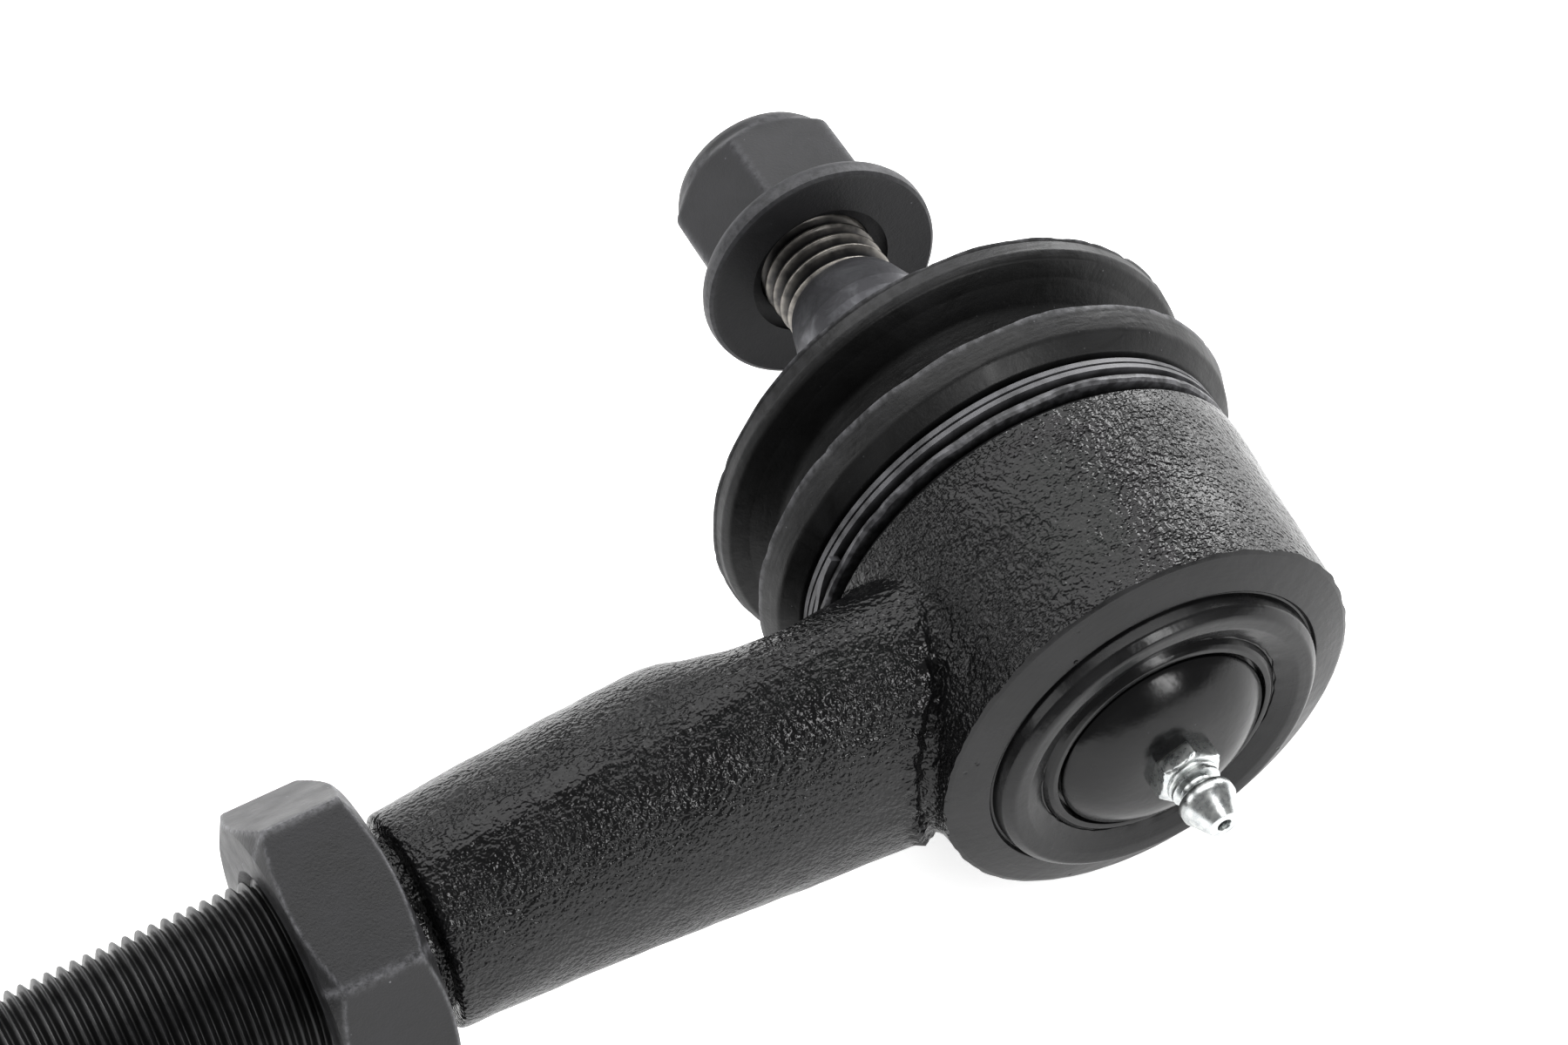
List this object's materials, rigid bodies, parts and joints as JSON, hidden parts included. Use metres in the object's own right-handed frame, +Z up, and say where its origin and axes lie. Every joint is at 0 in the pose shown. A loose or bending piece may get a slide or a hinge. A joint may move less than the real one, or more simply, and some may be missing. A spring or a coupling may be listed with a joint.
{
  "type": "tie rod end",
  "caption": "Outer tie rod end: threaded shank with jam nut, forged arm and head, greasable ball joint with dust boot, tapered stud and flange nut.",
  "frame": {"origin": "centre of the ball, where the stud pivots", "axes": "-X along the threaded shank to its free end, +Y along the housing's axis towards the stud, -Y to the grease nipple, +Z up as it lies"},
  "size_m": [0.1898, 0.1152, 0.06],
  "materials": {
    "forging": "black paint over a rough forged skin",
    "plate": "semi-gloss black paint on a pressed steel plate",
    "spring_steel": "bright spring steel",
    "seat": "greased acetal",
    "stud_steel": "phosphated steel, worn grey on the taper",
    "boot_rubber": "matte black rubber with dust",
    "ring_wire": "black spring wire",
    "nut_phosphate": "dark grey zinc phosphate",
    "nylon": "natural nylon",
    "jam_phosphate": "grey phosphate with bright worn edges",
    "zinc": "bright zinc plate over turned steel"
  },
  "bodies": {
    "housing": {"housing": "forging", "closing_plate": "plate", "preload_spring": "spring_steel", "lower_ball_seat": "seat", "upper_ball_seat": "seat", "boot_clamp_wire": "ring_wire", "grease_nipple": "zinc", "nipple_check_ball": "spring_steel", "nipple_spring": "spring_steel"},
    "boot": {"dust_boot": "boot_rubber"},
    "neck": {"boot_neck_ring": "ring_wire"},
    "stud": {"ball_stud": "stud_steel"},
    "nut_carrier": {"nut_locking_ring": "nylon"},
    "flange_nut": {"flange_nut": "nut_phosphate"},
    "jam_nut": {"jam_nut": "jam_phosphate"}
  },
  "joints": [
    {"name": "stud_tilt_x", "type": "hinge", "parent": "housing", "child": "boot", "pos_m": [0, 0, 0], "axis": [1, 0, 0], "range_deg": [-11, 25], "deforming": ["dust_boot"]},
    {"name": "stud_tilt_z", "type": "hinge", "parent": "boot", "child": "neck", "pos_m": [0, 0, 0], "axis": [0, 0.1219, 0.9925], "range_deg": [-15.7, 20.3]},
    {"name": "stud_spin", "type": "hinge", "parent": "neck", "child": "stud", "pos_m": [0, 0, 0], "axis": [0.0401, 0.9917, -0.1218], "continuous": true},
    {"name": "nut_travel", "type": "slide", "parent": "stud", "child": "nut_carrier", "axis": [0.0401, 0.9917, -0.1218], "range_m": [-0.007, 0.014]},
    {"name": "nut_turn", "type": "hinge", "parent": "nut_carrier", "child": "flange_nut", "pos_m": [0.00281, 0.06942, -0.00852], "axis": [0.0401, 0.9917, -0.1218], "range_deg": [-1260, 2520]},
    {"name": "jam_nut_travel", "type": "slide", "parent": "housing", "child": "jam_nut", "axis": [-1, 0, 0], "range_m": [-0.0022, 0.06]}
  ],
  "couplings": [
    {"joint": "nut_turn", "follows": "nut_travel", "rad_per_m": 3141.6}
  ]
}
